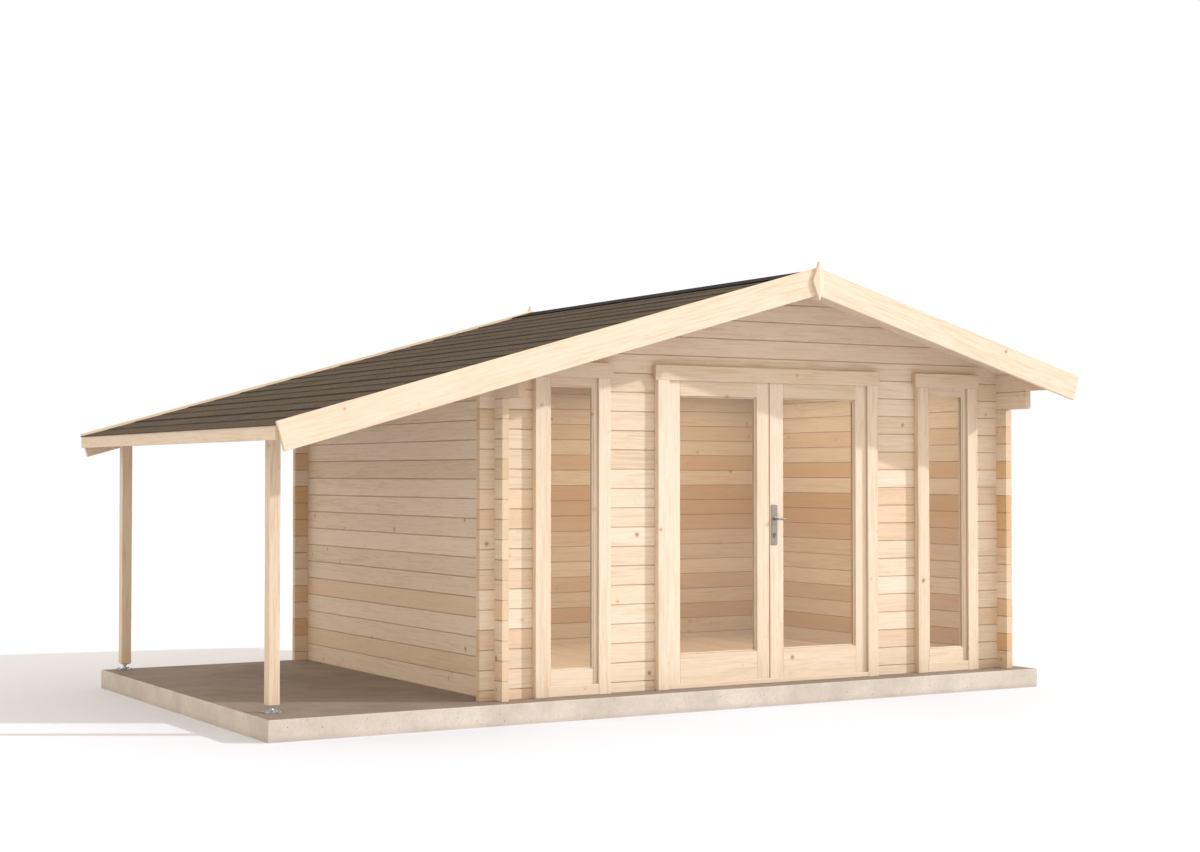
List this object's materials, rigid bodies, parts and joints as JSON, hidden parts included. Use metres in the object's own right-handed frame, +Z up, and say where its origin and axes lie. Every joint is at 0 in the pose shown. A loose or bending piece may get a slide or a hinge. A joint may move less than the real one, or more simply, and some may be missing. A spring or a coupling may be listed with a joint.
{
  "type": "log cabin",
  "caption": "Garden log cabin with notched wall logs, a glazed double door between tall fixed windows, and a low roof that runs on over an open side store on posts.",
  "frame": {"origin": "on the ground under the middle of the doorway, in the plane of the front wall's outer face", "axes": "+X to the right along the front wall, +Y back through the cabin, +Z up"},
  "size_m": [5.822, 3.835, 2.8101],
  "materials": {
    "pine": "planed untreated softwood",
    "concrete": "cast concrete",
    "roofing": "mineral-faced bitumen felt",
    "clear_glass": "clear float glass",
    "zinc_steel": "zinc-plated steel",
    "dark_steel": "satin steel"
  },
  "bodies": {
    "cabin": {"floor": "pine", "front_wall_left": "pine", "front_wall_mid_left": "pine", "front_wall_mid_right": "pine", "front_wall_right": "pine", "front_gable": "pine", "left_wall": "pine", "right_wall": "pine", "rear_wall": "pine", "left_purlin_logs": "pine", "right_purlin_logs": "pine", "ridge_purlin": "pine", "eave_beam": "pine", "posts": "pine", "roof_boards_left": "pine", "roof_boards_right": "pine", "left_fascia": "pine", "right_fascia": "pine", "front_barge_left": "pine", "front_barge_right": "pine", "rear_barge_left": "pine", "rear_barge_right": "pine", "finials": "pine", "door_frame_left": "pine", "door_frame_right": "pine", "door_frame_head": "pine", "door_threshold": "pine", "window_frames": "pine", "window_sashes": "pine", "concrete_slab": "concrete", "roof_covering_left": "roofing", "roof_covering_right": "roofing", "ridge_cap": "roofing", "window_glass": "clear_glass", "post_anchors": "zinc_steel", "door_hinges": "zinc_steel"},
    "left_leaf": {"left_door_leaf": "pine", "left_door_glass": "clear_glass", "left_leaf_hinges": "zinc_steel"},
    "right_leaf": {"right_door_leaf": "pine", "right_door_glass": "clear_glass", "right_leaf_hinges": "zinc_steel", "lock_plates": "dark_steel"},
    "lever": {"door_lever": "dark_steel"}
  },
  "joints": [
    {"name": "left_leaf_swing", "type": "hinge", "parent": "cabin", "child": "left_leaf", "pos_m": [-0.8005, 0.041, 1.1], "axis": [0, 0, 1], "range_deg": [0, 90]},
    {"name": "right_leaf_swing", "type": "hinge", "parent": "cabin", "child": "right_leaf", "pos_m": [0.8005, 0.041, 1.1], "axis": [0, 0, -1], "range_deg": [0, 90]},
    {"name": "lever_turn", "type": "hinge", "parent": "right_leaf", "child": "lever", "pos_m": [0.03, 0.005, 1.184], "axis": [0, 1, 0], "range_deg": [0, 40], "stiffness_Nm_per_rad": 2}
  ]
}
